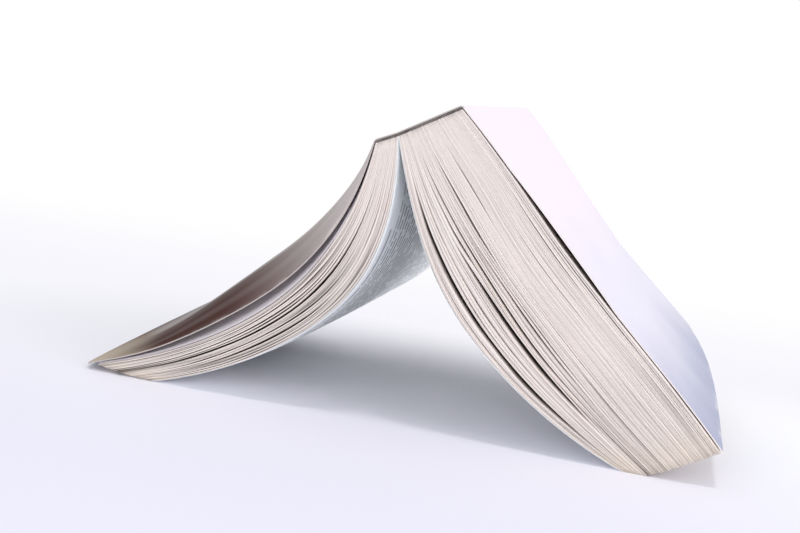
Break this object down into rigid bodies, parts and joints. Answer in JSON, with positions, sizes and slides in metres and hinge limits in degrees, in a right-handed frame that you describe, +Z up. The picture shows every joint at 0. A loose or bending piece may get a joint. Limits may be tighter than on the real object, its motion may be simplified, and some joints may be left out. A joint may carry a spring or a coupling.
{
  "type": "paperback book",
  "caption": "Thick paperback standing open like a tent on its fore edges, with fanned leaves and covers that hinge at the spine.",
  "frame": {"origin": "on the surface that the book stands on, under the centre of its bounding box", "axes": "+X across the open book towards the back cover, +Y along the spine from the head edge to the tail edge, +Z up"},
  "size_m": [0.1842, 0.178, 0.0897],
  "materials": {
    "paper": "matt uncoated book paper",
    "glue": "hot-melt binding adhesive",
    "cover_card": "laminated cover card"
  },
  "bodies": {
    "root": {"page_block": "paper", "spine_glue": "glue", "cover_spine": "cover_card"},
    "front_cover": {"front_cover": "cover_card"},
    "back_cover": {"back_cover": "cover_card"}
  },
  "joints": [
    {"name": "front_cover_hinge", "type": "hinge", "parent": "root", "child": "front_cover", "pos_m": [-0.01035, 0, 0.07749], "axis": [0, 1, 0], "range_deg": [0, 120]},
    {"name": "back_cover_hinge", "type": "hinge", "parent": "root", "child": "back_cover", "pos_m": [0.01171, 0, 0.08952], "axis": [0, -1, 0], "range_deg": [0, 120]}
  ]
}
